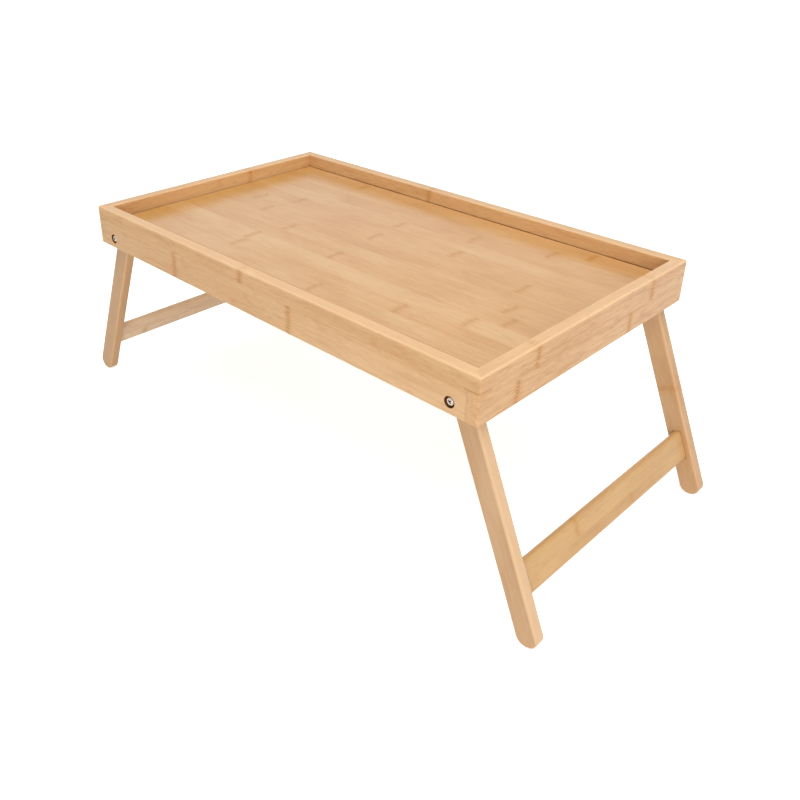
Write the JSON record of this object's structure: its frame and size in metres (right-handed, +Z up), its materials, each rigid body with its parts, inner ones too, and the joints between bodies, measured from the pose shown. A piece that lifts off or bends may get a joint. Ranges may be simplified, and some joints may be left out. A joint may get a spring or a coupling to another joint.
{
  "type": "bed tray table",
  "caption": "Low rectangular bamboo bed tray table with a raised rim and splayed leg frames that fold flat beneath it.",
  "frame": {"origin": "on the floor under the middle of the tray, with the legs standing", "axes": "+X along the tray's long side, +Y towards the back long side, +Z up"},
  "size_m": [0.6214, 0.3, 0.219],
  "materials": {
    "rim_bamboo": "satin lacquer",
    "panel_bamboo": "semi-gloss lacquer",
    "leg_bamboo": "satin lacquer",
    "zinc_steel": "bright zinc plate"
  },
  "bodies": {
    "tray": {"front_rail": "rim_bamboo", "right_rail": "rim_bamboo", "back_rail": "rim_bamboo", "left_rail": "rim_bamboo", "panel": "panel_bamboo", "front_left_pivot_screw": "zinc_steel", "front_left_nut_washer": "zinc_steel", "front_left_lock_nut": "zinc_steel", "back_left_pivot_screw": "zinc_steel", "back_left_nut_washer": "zinc_steel", "back_left_lock_nut": "zinc_steel", "front_right_pivot_screw": "zinc_steel", "front_right_nut_washer": "zinc_steel", "front_right_lock_nut": "zinc_steel", "back_right_pivot_screw": "zinc_steel", "back_right_nut_washer": "zinc_steel", "back_right_lock_nut": "zinc_steel"},
    "left_leg_frame": {"front_left_leg": "leg_bamboo", "back_left_leg": "leg_bamboo", "left_crossbar": "leg_bamboo"},
    "right_leg_frame": {"front_right_leg": "leg_bamboo", "back_right_leg": "leg_bamboo", "right_crossbar": "leg_bamboo"}
  },
  "joints": [
    {"name": "left_leg_fold", "type": "hinge", "parent": "tray", "child": "left_leg_frame", "pos_m": [-0.224, 0, 0.189], "axis": [0, -1, 0], "range_deg": [0, 113.2]},
    {"name": "right_leg_fold", "type": "hinge", "parent": "tray", "child": "right_leg_frame", "pos_m": [0.224, 0, 0.189], "axis": [0, 1, 0], "range_deg": [0, 113.2]}
  ]
}
